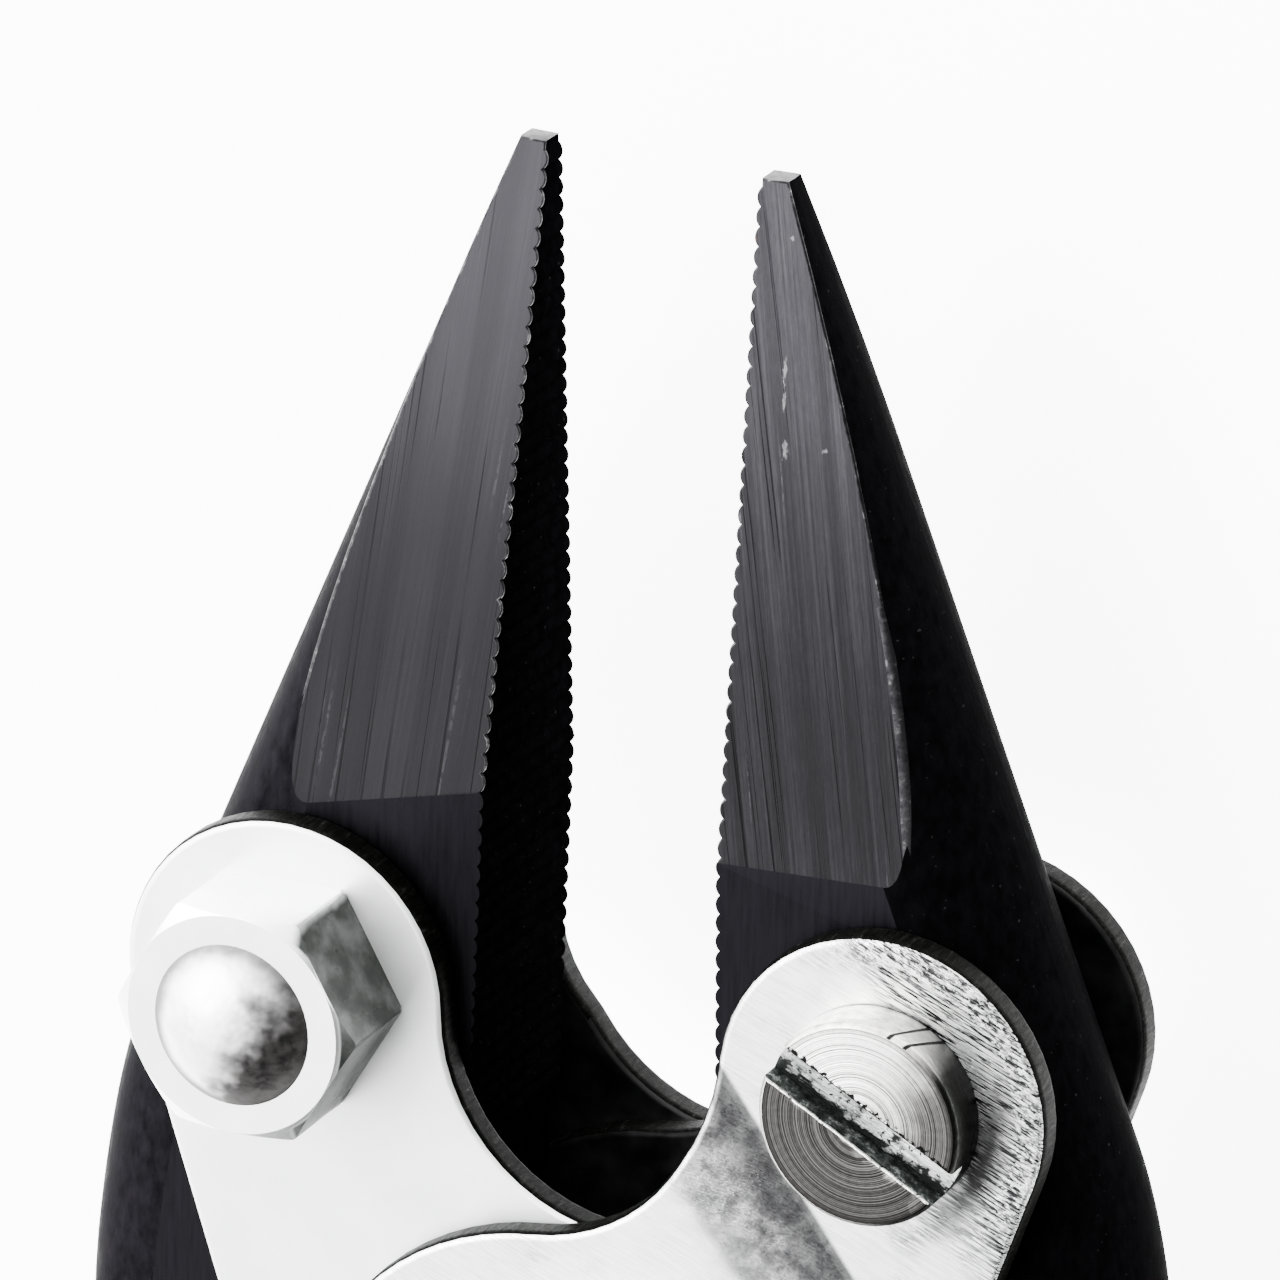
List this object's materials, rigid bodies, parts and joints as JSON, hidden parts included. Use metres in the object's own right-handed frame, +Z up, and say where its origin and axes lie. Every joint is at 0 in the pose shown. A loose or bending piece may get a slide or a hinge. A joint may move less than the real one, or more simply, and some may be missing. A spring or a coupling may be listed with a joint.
{
  "type": "parallel-action grozing pliers",
  "caption": "Hand pliers whose serrated tapering jaws stay parallel; two crossed folded sheet handles with dipped grips pin and guide the jaws.",
  "frame": {"origin": "centre of the tool's box seen from above, on the surface that it lies on", "axes": "+X across the tool, +Y along it to the jaw tips, +Z up through its thickness, towards the front"},
  "size_m": [0.1016, 0.142, 0.021],
  "materials": {
    "jaw_steel": "blackened tool steel, ground lengthwise on the tapering flats",
    "plated_sheet": "bright plated sheet steel, brushed, worn",
    "turned_steel": "turned bare steel, scratched",
    "plated_nut": "bright plated hexagon nut",
    "bush_steel": "oiled plain steel",
    "grip_vinyl": "dipped soft vinyl, satin"
  },
  "bodies": {
    "main_pivot": {"main_pivot_screw": "turned_steel", "main_pivot_nut": "plated_nut", "main_pivot_washer": "plated_nut", "main_pivot_sleeve": "bush_steel"},
    "right_handle": {"right_handle": "plated_sheet", "right_grip": "grip_vinyl", "left_jaw_screw": "turned_steel", "left_jaw_nut": "plated_nut", "left_jaw_bush": "bush_steel", "right_slot_rivet": "turned_steel", "right_slot_bush": "bush_steel"},
    "left_handle": {"left_handle": "plated_sheet", "left_grip": "grip_vinyl", "right_jaw_screw": "turned_steel", "right_jaw_nut": "plated_nut", "right_jaw_bush": "bush_steel", "left_slot_rivet": "turned_steel", "left_slot_bush": "bush_steel"},
    "left_jaw": {"left_jaw": "jaw_steel"},
    "right_jaw": {"right_jaw": "jaw_steel"}
  },
  "joints": [
    {"name": "right_handle_swing", "type": "hinge", "parent": "main_pivot", "child": "right_handle", "pos_m": [0, 0.02377, 0.0089], "axis": [0, 0, 1], "range_deg": [-12.44, 7.66]},
    {"name": "left_handle_swing", "type": "hinge", "parent": "main_pivot", "child": "left_handle", "pos_m": [0, 0.02377, 0.0089], "axis": [0, 0, 1], "range_deg": [-7.66, 12.44]},
    {"name": "left_jaw_pivot", "type": "hinge", "parent": "right_handle", "child": "left_jaw", "pos_m": [-0.0113, 0.04027, 0.0089], "axis": [0, 0, 1], "range_deg": [-7.66, 12.44]},
    {"name": "right_jaw_pivot", "type": "hinge", "parent": "left_handle", "child": "right_jaw", "pos_m": [0.0113, 0.04027, 0.0089], "axis": [0, 0, 1], "range_deg": [-12.44, 7.66]}
  ],
  "couplings": [
    {"joint": "left_handle_swing", "follows": "right_handle_swing", "ratio": -1},
    {"joint": "left_jaw_pivot", "follows": "right_handle_swing", "ratio": -1},
    {"joint": "right_jaw_pivot", "follows": "right_handle_swing", "ratio": 1}
  ]
}
